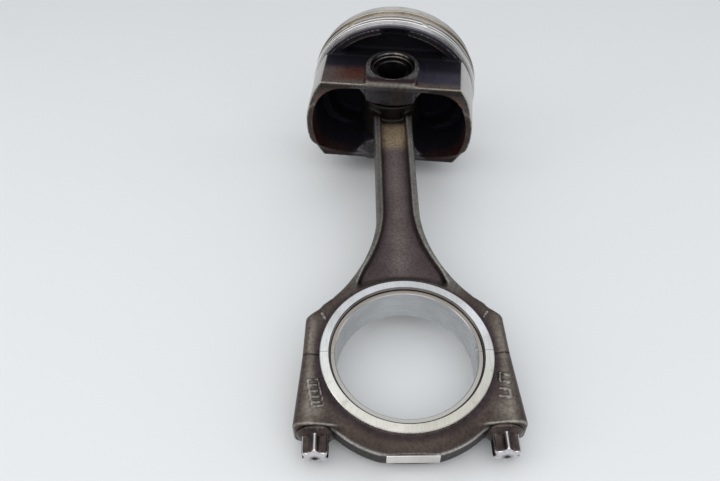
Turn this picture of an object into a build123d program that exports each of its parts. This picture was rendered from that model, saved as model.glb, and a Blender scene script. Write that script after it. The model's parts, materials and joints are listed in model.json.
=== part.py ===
"""Connecting rod and piston assembly: bolted big end, plain shells, floating pin, three ring packs.

Frame: origin at the centre of the big-end bore, +Y along the rod to the piston pin,
+Z along the bore axis. Millimetres.
"""
from build123d import *
from math import cos, radians, sin, sqrt
import os

# ---- driving dimensions -------------------------------------------------------------------
rod_centres = 145.5          # big-end bore axis to piston-pin axis
rest_swing = -6.7            # how far the piston leans about its pin, + is towards -X

crankpin_bore = 50.6         # inside the bearing shells
shell_wall = 1.75
shell_width = 14.6
lug_width = 3.6              # locating lug at one end of each shell
lug_length = 4.0             # along the shell, from the split
lug_depth = 1.05             # how far it stands out of the shell
lug_inset = 0.6              # from the shell's edge
lug_dent_depth = 0.9         # hollow pressed in the lining behind it
big_end_width = 17.0         # across the two thrust faces
thrust_face_radius = 30.7
thrust_face_step = 0.8       # how far the thrust faces stand above the forging
split_gap = 0.02             # fracture-split joint, rod to cap

strap_radius = 37.3          # outside of the cap's strap
strap_rim_half = 3.2         # half thickness of the strap at its rim
balance_pad_y = -36.1        # flat on the bottom of the cap

bolt_x = 31.6                # bolt axes are at plus and minus this
bolt_seat_y = -26.6
bolt_thread_radius = 4.0
bolt_shank_radius = 3.6
bolt_tip_y = 13.0
bolt_flange_radius = 6.5
bolt_flange_thickness = 2.2
bolt_head_radius = 4.75
bolt_head_height = 6.6
lobe_count = 6
flute_radius = 2.3           # hollows between the lobes
flute_offset = 1.3           # from the head's outside to the middle of a flute

boss_half = 7.2              # half thickness of the bolt bosses
boss_bevel = (2.2, 3.6)      # along their outer edges

beam_half = 9.1              # half width of the I-beam
flange_half = 6.5            # half thickness of its flanges
web_half = 2.3               # half thickness of its web
pocket_half = 6.2            # half width of the pocket between the flanges
beam_flare_y = 70.0          # where the beam starts to widen
beam_flare_radius = 67.0
pocket_flare_y = 72.0
pocket_flare_radius = 69.0

eye_radius = 14.3            # outside of the small end
eye_width = 20.0
eye_blend = 6.0              # blend radius from the eye into the beam
bush_wall = 1.5

pin_radius = 9.5
pin_hole_radius = 5.6
pin_length = 43.0
pin_clearance = 0.02         # radial, in the bush and in the piston's bosses

skirt_radius = 40.0
land_radius = 39.7
crown_y = 26.0               # heights on the piston are measured from the pin axis
belt_bottom_y = 7.8
skirt_bottom_y = -18.2
wall_bottom_y = -14.2
wall_outside = 22.7          # flat side walls, from the piston's middle plane
wall_thickness = 3.0
skirt_thickness = 3.2
belt_inside_radius = 33.0
belt_recess_radius = 34.2    # recesses behind the belt, outside the side walls
belt_recess_depth = 7.0
belt_recess_corner = 3.0
belt_notch_half = 4.2        # notch in the middle of each recess, half width
belt_notch_height = 1.2
belt_notch_reach = 1.6       # past the recess
hollow_corner = 7.5          # rounding of the hollow inside the skirt
tail_half = 14.2             # half width of the skirt's bottom edge
tail_setback = 3.6           # from the side walls to where the tail starts
tail_blend = 2.5
crown_underside_y = 18.6

boss_inside = 10.6           # faces of the pin bosses, from the middle plane
boss_outside = 24.2
pin_boss_radius = 12.6
boss_pad_y = -13.6           # flat under each pin boss
boss_pad_half = 11.6
rib_half_inside = 9.6        # ribs beside the bosses, half widths from the inside outwards
rib_half_middle = 12.4
rib_half_wall = 17.5
rib_widening = 4.0           # along the pin, where the rib is at its middle width

clip_wire = 1.1
clip_plane = 22.2            # middle of the circlip groove
clip_groove_radius = 10.3
clip_notch_angle = 224.0
clip_notch_radius = 1.5
clip_notch_offset = 10.0     # from the pin axis

groove_bottom_radius = 36.2
ring_outside_radius = 40.9   # sprung open: out of the cylinder the rings stand proud
ring_side_clearance = 0.05
oil_rail = 0.5

# name: bottom of the groove, its height, radial depth of the ring, angle of its gap
compression_rings = {
    "top_ring": (19.4, 1.2, 3.1, 58.0),
    "second_ring": (15.5, 1.5, 3.3, 238.0),
}
oil_groove = (11.4, 2.5)
oil_rail_gaps = {"oil_lower_rail": 110.0, "oil_upper_rail": 290.0}
oil_ring_depth = 2.6
expander_waves = 36
expander_slot = (0.45, 3.4)  # height and width of each wave's slot
expander_depth = 2.2
expander_setback = 0.9       # behind the rails' outside
expander_gap = 20.0          # angle of its gap
ring_gap_half_angle = 2.2    # half the opening of a sprung ring, degrees
drain_angles = (-24, -8, 8, 24, 156, 172, 188, 204)
drain_radius = 0.9

# distance of the valve axes from the pin plane, radius and depth of each pocket
valve_pocket_sizes = {"intake": (-17.5, 14.5, 2.4), "exhaust": (17.5, 12.5, 2.0)}
valve_pitch_half = 15.5      # half the distance between a pair of valves
valve_tilt = 9.0

housing_radius = crankpin_bore / 2 + shell_wall
big_end_half = big_end_width / 2
body_half = big_end_half - thrust_face_step
piston_place = Location((0, rod_centres, 0), (0, 0, rest_swing))


# ---- small helpers ------------------------------------------------------------------------
def disc_y(radius, low, high, x=0.0):
    """Cylinder along Y between two heights."""
    return Pos(x, (low + high) / 2, 0) * Rot(90, 0, 0) * Cylinder(radius, high - low)


def disc_z(radius, low, high, x=0.0, y=0.0):
    """Cylinder along Z between two heights."""
    return Pos(x, y, (low + high) / 2) * Cylinder(radius, high - low)


def block(x, y, z):
    """Box from three (low, high) pairs."""
    size = [high - low for low, high in (x, y, z)]
    middle = [(low + high) / 2 for low, high in (x, y, z)]
    return Pos(*middle) * Box(*size)


def prism_z(face, half):
    """Flat outline in XY made into a plate of the given half thickness about Z = 0."""
    return Pos(0, 0, -half) * extrude(face, amount=2 * half, dir=(0, 0, 1))


def both_sides(shape, plane):
    """A shape and its mirror image."""
    return shape + mirror(shape, about=plane)


def sector(angle, half_angle, reach, low, high):
    """Wedge about the Y axis that opens a gap in a ring, centred on the given angle."""
    points = [(0, 0)]
    for edge in (-half_angle, half_angle):
        turn = radians(angle + edge)
        points.append((reach * cos(turn), reach * sin(turn)))
    wedge = extrude(make_face(Polyline(*points, close=True)), amount=high - low)
    return Pos(0, low, 0) * Rot(-90, 0, 0) * wedge


# ---- connecting rod -----------------------------------------------------------------------
def beam_outline():
    """Outline of the beam, from round the small end down into the big end."""
    reach = sqrt((eye_radius + eye_blend) ** 2 - (beam_half + eye_blend) ** 2)
    blend_y = rod_centres - reach
    share = eye_radius / (eye_radius + eye_blend)
    on_eye = ((beam_half + eye_blend) * share, rod_centres - reach * share)
    top = (0, rod_centres + eye_radius)
    flare_end_y = 31.0
    flare_drop = beam_flare_y - flare_end_y
    flare_end_x = beam_half + beam_flare_radius - sqrt(beam_flare_radius ** 2 - flare_drop ** 2)
    half = [
        RadiusArc(top, on_eye, eye_radius),
        RadiusArc(on_eye, (beam_half, blend_y), -eye_blend),
        Line((beam_half, blend_y), (beam_half, beam_flare_y)),
        RadiusArc((beam_half, beam_flare_y), (flare_end_x, flare_end_y), -beam_flare_radius),
        Polyline((flare_end_x, flare_end_y), (25.6, 25.3), (20.0, 10.0), (0, 10.0), top),
    ]
    return both_sides(make_face(half), Plane.YZ)


def pocket_outline():
    """Outline of the pocket between the beam's flanges."""
    top_y = rod_centres - eye_radius + 2.2
    corner_y = 34.6
    drop = pocket_flare_y - corner_y
    corner_x = pocket_half + pocket_flare_radius - sqrt(pocket_flare_radius ** 2 - drop ** 2)
    half = [
        Line((0, top_y), (pocket_half - 3.0, top_y)),
        RadiusArc((pocket_half - 3.0, top_y), (pocket_half, top_y - 3.0), 3.0),
        Line((pocket_half, top_y - 3.0), (pocket_half, pocket_flare_y)),
        RadiusArc((pocket_half, pocket_flare_y), (corner_x, corner_y), -pocket_flare_radius),
        ThreePointArc((corner_x, corner_y), (corner_x + 0.3, 32.0), (16.2, 29.4)),
        Polyline((16.2, 29.4), (14.0, 24.0), (0, 24.0), (0, top_y)),
    ]
    return both_sides(make_face(half), Plane.YZ)


def beam_pockets():
    """Pockets on both faces of the beam, stopping against the thrust rings."""
    outline = pocket_outline()
    pockets = prism_z(outline, flange_half + 1) - prism_z(outline, web_half)
    return pockets - disc_z(thrust_face_radius + 0.2, -20, 20)


def bolt_boss():
    """One bolt boss of the big end, +X side, running along the bolt from shoulder to seat."""
    outline = Polyline(
        (20.0, 22.0), (25.7, 25.3), (29.4, 21.8), (35.6, 17.0), (36.5, 15.8), (37.1, 0.0),
        (39.1, -24.4), (38.4, bolt_seat_y), (22.0, bolt_seat_y), (20.0, -20.0), close=True,
    )
    plate = prism_z(make_face(outline), boss_half)
    outer = [edge for edge in plate.edges().filter_by(GeomType.LINE)
             if abs(edge.center().Z) > boss_half - 0.01 and edge.center().X > 36.0
             and edge.length > 5.0]
    return chamfer(outer, *boss_bevel)


def big_end_disc():
    """Round section of the big end: thrust faces, step and sloping strap."""
    upper = [
        (0, big_end_half), (thrust_face_radius, big_end_half), (thrust_face_radius, body_half),
        (thrust_face_radius + 1.0, body_half), (strap_radius, strap_rim_half),
    ]
    lower = [(radius, -z) for radius, z in reversed(upper)]
    section = make_face(Polyline(*upper, *lower, close=True))
    disc = revolve(Plane.XZ * section, axis=Axis.Z)
    rod_side = block((-60, 60), (0, 60), (-20, 20)) - disc_z(strap_radius - 1.9, -20, 20)
    return disc - rod_side


def housing_cut():
    """Bore for the shells with its eased edges."""
    ease = 0.6
    cut = disc_z(housing_radius, -big_end_half - 1, big_end_half + 1)
    mouth = Pos(0, 0, big_end_half) * Cone(housing_radius - ease, housing_radius + ease, 2 * ease)
    return cut + mouth + mirror(mouth, about=Plane.XY)


def lug_face(margin):
    """Where a lug lies along the bore axis, off centre so that it clears the bolt."""
    outer = shell_width / 2 - lug_inset
    return (outer - lug_width - margin, outer + margin)


def lug_span(shell_side, margin):
    """Heights between which a shell's lug lies; shell_side is +1 in the rod, -1 in the cap."""
    return tuple(sorted((shell_side * split_gap / 2, shell_side * (lug_length + margin))))


def housing_notch(shell_side):
    """Seat for a shell's locating lug, cut in the housing beside the split."""
    depth = (housing_radius - 1.0, housing_radius + lug_depth + 0.1)
    return block(depth, lug_span(shell_side, 0.05), lug_face(0.05))


def rod_forging():
    """Rod and cap in one piece, as forged and bored, before the cap is split off."""
    boss = bolt_boss()
    body = big_end_disc() + boss + mirror(boss, about=Plane.YZ)
    body += prism_z(beam_outline(), flange_half)
    body -= beam_pockets()
    eye = disc_z(eye_radius, -eye_width / 2, eye_width / 2, 0, rod_centres)
    body += chamfer(eye.edges().filter_by(GeomType.CIRCLE), 0.8)
    body -= disc_z(pin_radius + pin_clearance + bush_wall, -20, 20, 0, rod_centres)
    body -= housing_cut()
    for side in (-1, 1):
        x = side * bolt_x
        body -= disc_y(bolt_shank_radius + 0.15, bolt_seat_y - 1, 0.0, x)
        body -= disc_y(bolt_thread_radius, 0.0, bolt_tip_y + 1.2, x)
        body -= disc_y(bolt_flange_radius + 0.6, bolt_seat_y - 15, bolt_seat_y, x)
    return body - block((-25, 25), (balance_pad_y - 5, balance_pad_y), (-20, 20))


def connecting_rod(forging):
    """Small end, beam and the upper half of the big end."""
    rod = forging & block((-60, 60), (split_gap / 2, rod_centres + 60), (-20, 20))
    return rod - housing_notch(1)


def rod_cap(forging):
    """Lower half of the big end."""
    cap = forging & block((-60, 60), (-60, -split_gap / 2), (-20, 20))
    return cap - housing_notch(-1)


def bearing_shell(shell_side):
    """Half of the plain bearing, with the locating lug at its +X end."""
    ring = disc_z(housing_radius, -shell_width / 2, shell_width / 2)
    ring -= disc_z(crankpin_bore / 2, -20, 20)
    ring = chamfer(ring.edges().filter_by(GeomType.CIRCLE), 0.25)
    low, high = sorted((shell_side * split_gap / 2, shell_side * 60.0))
    half = ring & block((-60, 60), (low, high), (-20, 20))
    low, high = lug_span(shell_side, 0.0)
    half += block((housing_radius - 0.6, housing_radius + lug_depth), (low, high), lug_face(0.0))
    dent = (crankpin_bore / 2 - 1, crankpin_bore / 2 + lug_dent_depth)
    dent = block(dent, (low, high), lug_face(-0.4))
    return half - dent


def small_end_bush():
    """Plain bush pressed in the small end."""
    inner = pin_radius + pin_clearance
    bush = disc_z(inner + bush_wall, -eye_width / 2 + 0.3, eye_width / 2 - 0.3)
    bush = chamfer(bush.edges().filter_by(GeomType.CIRCLE), 0.3)
    bush -= disc_z(inner, -20, 20)
    return Pos(0, rod_centres, 0) * bush


def rod_bolt(x):
    """Flange bolt with a six-lobe head, threaded into the rod."""
    thread = disc_y(bolt_thread_radius - 0.03, 1.0, bolt_tip_y)
    thread = chamfer(thread.edges().filter_by(GeomType.CIRCLE).sort_by(Axis.Y)[-1], 0.8)
    shank = disc_y(bolt_shank_radius, bolt_seat_y, 1.0)
    flange_low = bolt_seat_y - bolt_flange_thickness
    flange = disc_y(bolt_flange_radius, flange_low, bolt_seat_y)
    flange = chamfer(flange.edges().sort_by(Axis.Y)[0], 1.2, 2.6)
    head_low = flange_low - bolt_head_height
    head = disc_y(bolt_head_radius, head_low, flange_low + 0.1)
    head = chamfer(head.edges().filter_by(GeomType.CIRCLE).sort_by(Axis.Y)[0], 0.7)
    flute_reach = bolt_head_radius + flute_offset
    for step in range(lobe_count):
        turn = radians(360.0 / lobe_count * step)
        flute = disc_y(flute_radius, head_low - 1, flange_low + 0.05)
        head -= Pos(flute_reach * cos(turn), 0, flute_reach * sin(turn)) * flute
    head -= Pos(0, head_low, 0) * Sphere(0.7)
    return Pos(x, 0, 0) * (thread + shank + flange + head)


# ---- piston, in its own frame: pin axis on Z, crown towards +Y -----------------------------
def hollow_section(radius, half):
    """Rounded section of the hollow inside the skirt, cut square by the side walls."""
    section = Circle(radius) & Rectangle(3 * radius, 2 * half)
    return fillet(section.vertices(), hollow_corner)


def piston_hollow():
    """Hollow between the skirts, narrower behind the ring belt."""
    inside = wall_outside - wall_thickness
    lower = hollow_section(skirt_radius - skirt_thickness, inside)
    upper = hollow_section(belt_inside_radius, inside)
    low = skirt_bottom_y - 1
    lower_cut = extrude(lower, amount=belt_bottom_y + 1.0 - low)
    upper_cut = extrude(upper, amount=crown_underside_y - low)
    return Pos(0, low, 0) * Rot(-90, 0, 0) * (lower_cut + upper_cut)


def pin_boss():
    """One pin boss, +Z side, with its flat pad and the ribs that carry it to the crown."""
    profile = make_face(Polyline(
        (-boss_pad_half, boss_pad_y), (boss_pad_half, boss_pad_y),
        (pin_boss_radius, 0), (-pin_boss_radius, 0), close=True,
    )) + Circle(pin_boss_radius)
    boss = Pos(0, 0, boss_inside) * extrude(profile, amount=boss_outside - boss_inside)
    wall_inside = wall_outside - wall_thickness / 2
    rib = make_face(Polyline(
        (-rib_half_inside, boss_inside), (rib_half_inside, boss_inside),
        (rib_half_middle, boss_inside + rib_widening), (rib_half_wall, wall_inside),
        (-rib_half_wall, wall_inside), (-rib_half_middle, boss_inside + rib_widening), close=True,
    ))
    rib_low = boss_pad_y + 1.4
    rib_high = crown_underside_y + 1.0
    ribs = Rot(90, 0, 0) * extrude(rib, amount=rib_high - rib_low)
    ribs = Pos(0, rib_high, 0) * ribs
    return boss + ribs


def wall_relief():
    """Space that shortens the side walls and slopes the skirt tails up towards them."""
    reach = 50.0
    side_view = Plane(origin=(reach, 0, 0), x_dir=(0, 0, 1), z_dir=(-1, 0, 0))
    low = skirt_bottom_y - 1
    outline = make_face(Polyline(
        (tail_half, low), (wall_outside - tail_setback, wall_bottom_y), (wall_outside + 5, wall_bottom_y),
        (wall_outside + 5, low), close=True,
    ))
    blend = outline.vertices().sort_by(Axis.Y)[-2:].sort_by(Axis.X)[0]
    outline = fillet(blend, tail_blend)
    cut = extrude(side_view * outline, amount=2 * reach)
    return both_sides(cut, Plane.XY)


def belt_pockets():
    """Recesses cut up behind the ring belt outside both side walls, each with its notch."""
    reach = 20.0
    region = Circle(belt_recess_radius) & Pos(0, -wall_outside - reach / 2) * Rectangle(80.0, reach)
    region = fillet(region.vertices(), belt_recess_corner)
    recess = Rot(-90, 0, 0) * extrude(region, amount=belt_recess_depth + 1)
    notch = block(
        (-belt_notch_half, belt_notch_half), (0, belt_notch_height + 1),
        (belt_recess_radius - 4, belt_recess_radius + belt_notch_reach),
    )
    return both_sides(Pos(0, belt_bottom_y - 1, 0) * (recess + notch), Plane.XY)


def ring_groove(low, height):
    """Annular space of one ring groove."""
    groove = disc_y(skirt_radius + 5, low, low + height)
    return groove - disc_y(groove_bottom_radius, low - 1, low + height + 1)


def oil_drains():
    """Drain holes from the back of the oil-ring groove into the hollow."""
    middle = oil_groove[0] + oil_groove[1] / 2
    drains = None
    for angle in drain_angles:
        hole = Pos(35.0, 0, 0) * Rot(0, 90, 0) * Cylinder(drain_radius, 9.0)
        hole = Pos(0, middle, 0) * Rot(0, angle, 0) * hole
        drains = hole if drains is None else drains + hole
    return drains


def valve_pockets():
    """Clearance pockets for four valves in the crown, larger on the intake side."""
    pockets = None
    for x, radius, depth in valve_pocket_sizes.values():
        tilt = valve_tilt if x > 0 else -valve_tilt
        for z in (-valve_pitch_half, valve_pitch_half):
            cutter = Rot(0, 0, tilt) * disc_y(radius, -depth, 12.0)
            cutter = Pos(x, crown_y + 0.4, z) * cutter
            pockets = cutter if pockets is None else pockets + cutter
    return pockets


def piston_blank():
    """Ring belt, skirts and side walls, with the hollow, the reliefs and the recesses cut."""
    belt = disc_y(land_radius, belt_bottom_y, crown_y)
    belt = chamfer(belt.edges().filter_by(GeomType.CIRCLE), 0.4)
    skirt = disc_y(skirt_radius, skirt_bottom_y, belt_bottom_y + 0.6)
    skirt &= block((-60, 60), (-60, 60), (-wall_outside, wall_outside))
    blank = belt + skirt
    blank -= piston_hollow()
    blank -= wall_relief()
    return blank - belt_pockets()


def piston_body():
    """Piston with its bosses, bores, grooves and drains."""
    body = piston_blank() + both_sides(pin_boss(), Plane.XY)
    body -= disc_z(pin_radius + pin_clearance, -30, 30)
    for low, high in ((boss_outside, 45), (-45, -boss_outside)):
        body -= disc_z(pin_radius + 0.3, low, high)
    for side in (-1, 1):
        plane = side * clip_plane
        body -= disc_z(clip_groove_radius, plane - clip_wire / 2 - 0.03, plane + clip_wire / 2 + 0.03)
        mouth = sorted((side * (boss_outside - 0.5), side * (boss_outside + 1)))
        body -= disc_z(pin_radius + 0.5, *mouth)
        turn = radians(clip_notch_angle)
        notch = sorted((plane, side * (boss_outside + 1)))
        notch_x, notch_y = clip_notch_offset * cos(turn), clip_notch_offset * sin(turn)
        body -= disc_z(clip_notch_radius, *notch, notch_x, notch_y)
    grooves = [(low, height) for low, height, _, _ in compression_rings.values()] + [oil_groove]
    for low, height in grooves:
        body -= ring_groove(low, height)
    body -= oil_drains()
    return body - valve_pockets()


def piston_pin():
    """Hollow floating pin with tapered ends to its bore."""
    pin = disc_z(pin_radius, -pin_length / 2, pin_length / 2)
    pin = chamfer(pin.edges().filter_by(GeomType.CIRCLE), 0.5)
    pin -= disc_z(pin_hole_radius, -40, 40)
    half = pin_length / 2
    taper = Pos(0, 0, half - 3.0 + 1e-3) * Cone(pin_hole_radius, pin_hole_radius + 1.6, 6.0)
    return pin - both_sides(taper, Plane.XY)


def circlip(side):
    """Round-wire clip that keeps the pin in, open at the removal notch."""
    wire_radius = clip_wire / 2
    middle_radius = clip_groove_radius - wire_radius - 0.05
    opening = 36.0
    start = clip_notch_angle + opening / 2
    section = Pos(middle_radius, 0) * Circle(wire_radius)
    ring = revolve(Plane.XZ * section, axis=Axis.Z, revolution_arc=360.0 - opening)
    return Pos(0, 0, side * clip_plane) * Rot(0, 0, start) * ring


def compression_ring(name):
    """Split ring, sprung open, with eased outer edges."""
    low, height, depth, gap_angle = compression_rings[name]
    bottom = low + ring_side_clearance
    top = low + height - ring_side_clearance
    ring = disc_y(ring_outside_radius, bottom, top)
    ring = chamfer(ring.edges().filter_by(GeomType.CIRCLE), 0.15)
    ring -= disc_y(ring_outside_radius - depth, bottom - 1, top + 1)
    return ring - sector(gap_angle, ring_gap_half_angle, 60, bottom - 1, top + 1)


def oil_rail_ring(name):
    """Thin scraper rail of the oil ring."""
    low, height = oil_groove
    upper = name == "oil_upper_rail"
    bottom = low + height - ring_side_clearance - oil_rail if upper else low + ring_side_clearance
    top = bottom + oil_rail
    ring = disc_y(ring_outside_radius, bottom, top)
    ring -= disc_y(ring_outside_radius - oil_ring_depth, bottom - 1, top + 1)
    return ring - sector(oil_rail_gaps[name], ring_gap_half_angle, 60, bottom - 1, top + 1)


def oil_expander():
    """Corrugated spacer between the two rails."""
    low, height = oil_groove
    bottom = low + 2 * ring_side_clearance + oil_rail
    top = low + height - 2 * ring_side_clearance - oil_rail
    outside = ring_outside_radius - expander_setback
    ring = disc_y(outside, bottom, top) - disc_y(outside - expander_depth, bottom - 1, top + 1)
    slot_height, slot_width = expander_slot
    for wave in range(expander_waves):
        angle = 360.0 / expander_waves * (wave + 0.5)
        upper = wave % 2 == 0
        y = top - slot_height / 2 if upper else bottom + slot_height / 2
        slot = Pos(outside, y, 0) * Box(8.0, slot_height + 1e-3, slot_width)
        ring -= Rot(0, angle, 0) * slot
    return ring - sector(expander_gap, ring_gap_half_angle, 60, bottom - 1, top + 1)


# ---- all nodes ----------------------------------------------------------------------------
def all_parts():
    """Every node by name, placed in the assembly's frame."""
    forging = rod_forging()
    parts = {
        "connecting_rod": connecting_rod(forging),
        "rod_cap": rod_cap(forging),
        "bearing_shell_rod": bearing_shell(1),
        "bearing_shell_cap": bearing_shell(-1),
        "small_end_bush": small_end_bush(),
        "rod_bolt_left": rod_bolt(-bolt_x),
        "rod_bolt_right": rod_bolt(bolt_x),
    }
    on_piston = {
        "piston_body": piston_body(),
        "piston_pin": piston_pin(),
        "circlip_upper": circlip(1),
        "circlip_lower": circlip(-1),
        "oil_expander": oil_expander(),
    }
    for name in compression_rings:
        on_piston[name] = compression_ring(name)
    for name in oil_rail_gaps:
        on_piston[name] = oil_rail_ring(name)
    for name, shape in on_piston.items():
        parts[name] = piston_place * shape
    return parts


os.makedirs("parts", exist_ok=True)
for part_name, part_shape in all_parts().items():
    export_step(part_shape, f"parts/{part_name}.step")
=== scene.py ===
"""Looks of a piston and its connecting rod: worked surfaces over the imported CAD, floor, light, camera.

Lengths inside the builders are millimetres in the frame's axes, and meshes are made in metres.
Cast and forged shapes are distance fields turned into meshes; turned shapes are lathed profiles.
Colours are linear red, green and blue. Angles passed to lathe, ring, make and radians are degrees.
"""
import json
from math import atan2, cos, degrees, hypot, pi, radians, sin

import bpy
import numpy as np
from mathutils import Matrix, Vector


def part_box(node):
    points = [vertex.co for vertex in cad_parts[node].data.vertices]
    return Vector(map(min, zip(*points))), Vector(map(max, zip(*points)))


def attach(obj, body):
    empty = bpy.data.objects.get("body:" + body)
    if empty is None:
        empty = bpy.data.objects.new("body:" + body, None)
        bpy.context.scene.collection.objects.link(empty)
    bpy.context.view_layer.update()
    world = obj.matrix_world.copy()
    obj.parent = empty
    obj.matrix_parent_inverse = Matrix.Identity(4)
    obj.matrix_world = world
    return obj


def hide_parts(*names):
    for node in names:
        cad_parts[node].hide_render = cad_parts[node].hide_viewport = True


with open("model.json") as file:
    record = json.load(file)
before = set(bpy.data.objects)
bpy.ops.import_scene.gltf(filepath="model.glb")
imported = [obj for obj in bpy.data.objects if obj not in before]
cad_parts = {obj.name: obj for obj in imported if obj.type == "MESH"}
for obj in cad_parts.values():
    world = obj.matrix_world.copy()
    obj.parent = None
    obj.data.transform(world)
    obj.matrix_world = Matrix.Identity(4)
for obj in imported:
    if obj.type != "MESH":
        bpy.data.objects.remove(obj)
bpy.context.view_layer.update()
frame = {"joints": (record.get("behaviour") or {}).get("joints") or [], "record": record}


# ---- sizes, read from the frame where it states them ----
def node_mm(name):
    """Low and high corner of a node's box, in millimetres."""
    low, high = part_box(name)
    return np.array(low) * 1000.0, np.array(high) * 1000.0


joints = {j["name"]: j for j in frame["joints"]}
mounts = {m["name"]: m for m in frame["record"]["mounts"]}

crank_r = mounts["crankpin_bore"]["dims"]["r_mm"]
face_z = mounts["thrust_face_upper"]["pos_m"][2] * 1000.0
pin_y = joints["piston_swing"]["pos_m"][1] * 1000.0
crown_axis = mounts["cylinder_bore"]["axis"]
lean = -atan2(crown_axis[0], crown_axis[1])

shell_low, shell_high = node_mm("bearing_shell_cap")
shell_half = shell_high[2]
housing_r = -shell_low[1]
pad_y = node_mm("rod_cap")[0][1]
bolt_low, bolt_high = node_mm("rod_bolt_right")
bolt_x = (bolt_low[0] + bolt_high[0]) / 2
flange_r = (bolt_high[0] - bolt_low[0]) / 2
bolt_tip, bolt_end = bolt_high[1], bolt_low[1]
rod_high = node_mm("connecting_rod")[1]
eye_r = rod_high[1] - pin_y
eye_half = rod_high[2]
pin_low, pin_high = node_mm("piston_pin")
pin_half = pin_high[2]
pin_r = (pin_high[1] - pin_low[1]) / 2
bush_low, bush_high = node_mm("small_end_bush")
bush_r = (bush_high[1] - bush_low[1]) / 2
bush_half = bush_high[2]
clip_low, clip_high = node_mm("circlip_upper")
clip_z = (clip_low[2] + clip_high[2]) / 2
clip_wire = (clip_high[2] - clip_low[2]) / 2
inside_box = 0.01
ring_r = node_mm("top_ring")[1][2] - inside_box

# Big end: the strap's faces fall to its rim, and the bolt bosses stand beside the thrust rings.
# A line is a point and a normal, with the length that the normal is divided by.
thrust_r, strap_r, seat_y = 30.7, 37.3, -26.6
strap_step = 1.9
strap_line = (31.3, 7.4), (4.2, 6.1, hypot(6.1, 4.2))
shoulder_line = (25.7, 25.3), (7.7, 9.2, 12.0)
boss_x, boss_top, boss_crest_x = 37.1, 7.2, 34.0
bolt_hole_r = 3.9

# Beam: half-widths, with the heights and radii of the arcs that flare it towards the big end.
beam_half, flange_z, web_z, pocket_half = 9.1, 6.5, 2.3, 6.2
beam_flare, pocket_flare = (70.0, 67.0), (72.0, 69.0)

# Piston, in its own frame: pin axis on Z through the origin, crown towards +Y.
skirt_r, land_r, crown_y, belt_low, wall_z = 40.0, 39.7, 26.0, 7.8, 22.7
skirt_low, hollow_z, groove_r = -18.2, 19.7, 36.2
grooves = {"top": (19.4, 1.2), "second": (15.5, 1.5), "oil": (11.4, 2.5)}
boss_in, boss_out, boss_r, cored_r = 10.6, 24.2, 12.6, 10.6
pad_line = (boss_r, 0.0), (13.6, -1.0, 13.64)
notch_angle = radians(224.0)
drain_angles, drain_y, drain_r = (-24, -8, 8, 24, 156, 172, 188, 204), 12.65, 0.9
valve_sizes = ((-1, 14.5, 2.4), (1, 12.5, 2.0))
valve_x, valve_pitch_half, valve_tilt = 17.5, 15.5, 9.0


# ---- distance fields ----
def smin(a, b, k):
    """Union blended over a distance k."""
    h = np.clip(0.5 + 0.5 * (b - a) / k, 0, 1)
    return b * (1 - h) + a * h - k * h * (1 - h)


def smax(a, b, k):
    """Intersection blended over a distance k."""
    return -smin(-a, -b, k)


def rmax(a, b, r):
    """Intersection with its edge rounded to radius r."""
    return np.minimum(np.maximum(a, b), -r) + np.hypot(np.maximum(a + r, 0), np.maximum(b + r, 0))


def rmin(a, b, r):
    """Union with its inside corner filled to radius r."""
    return -rmax(-a, -b, r)


def past(u, v, line):
    """Distance past a line, along its normal."""
    (u0, v0), (nu, nv, length) = line
    return ((u - u0) * nu + (v - v0) * nv) / length


def soft(value, low, high):
    """Smooth step from 0 at low to 1 at high, which may be the smaller."""
    t = np.clip((value - low) / (high - low), 0, 1)
    return t * t * (3 - 2 * t)


def strap(x, y, r, az):
    """Round section of the big end, its faces sloping down to the rim."""
    slope = past(r, az, strap_line)
    outside = r - np.where(y < 0, strap_r, strap_r - strap_step)
    body = rmax(smax(slope, az - 6.7, 2.0), outside, 0.4)
    body = smax(body, np.abs(x) - 35.6, 0.6)
    return smax(body, pad_y + 0.15 - y, 0.3)


def boss_height(ax):
    """Top of the bolt bosses, dished towards the thrust rings."""
    return boss_top - 0.05 * np.maximum(boss_crest_x - ax, 0) ** 1.6


def bolt_boss(y, ax, az):
    """Columns round the bolts, drafted and rounded along their outer sides."""
    side = ax - np.where(y < 0, boss_x - 0.082 * y, boss_x - 0.04 * y)
    outline = smax(side, past(ax, y, shoulder_line), 0.8)
    height = boss_height(ax) - 0.16 * np.maximum(ax - 34.4, 0)
    column = rmax(outline, az - height, 2.8)
    column = rmax(column, seat_y - y, 0.7)
    return np.maximum(column, 19.0 - ax)


def flared(ax, y, half, arc):
    """Straight side that flares outward in an arc below the arc's height."""
    start, radius = arc
    return np.where(y < start, radius - np.hypot(ax - half - radius, y - start), ax - half)


def beam(x, y, r, ax, az):
    """Drafted I-beam that flares into the eye at the top and the bolt bosses below."""
    flare = flared(ax, y, beam_half, beam_flare)
    shoulder = np.maximum(past(ax, y, shoulder_line), ax - 30.0)
    flare = np.where(y < shoulder_line[0][1], np.maximum(flare, shoulder), flare)
    eye = np.hypot(x, y - pin_y) - eye_r
    outline = rmin(np.maximum(flare, y - pin_y), eye, 6.0)
    plate = rmax(outline + 0.06 * az - 0.1, az - flange_z, 1.0)
    plate = np.maximum(plate, 12.0 - y)
    pocket = flared(ax, y, pocket_half, pocket_flare)
    pocket = rmax(pocket, y - (pin_y - eye_r + 3.0), 1.5)
    pocket = rmax(pocket, ax - 18.0, 4.0)
    pocket = rmax(pocket, thrust_r + 0.9 - r, 3.0) + 0.13 * (flange_z - az)
    return rmax(plate, -rmax(pocket, web_z - az, 2.0), 0.8)


def small_end(x, y, az):
    return rmax(np.hypot(x, y - pin_y) - eye_r, az - eye_half, 0.9)


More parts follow.
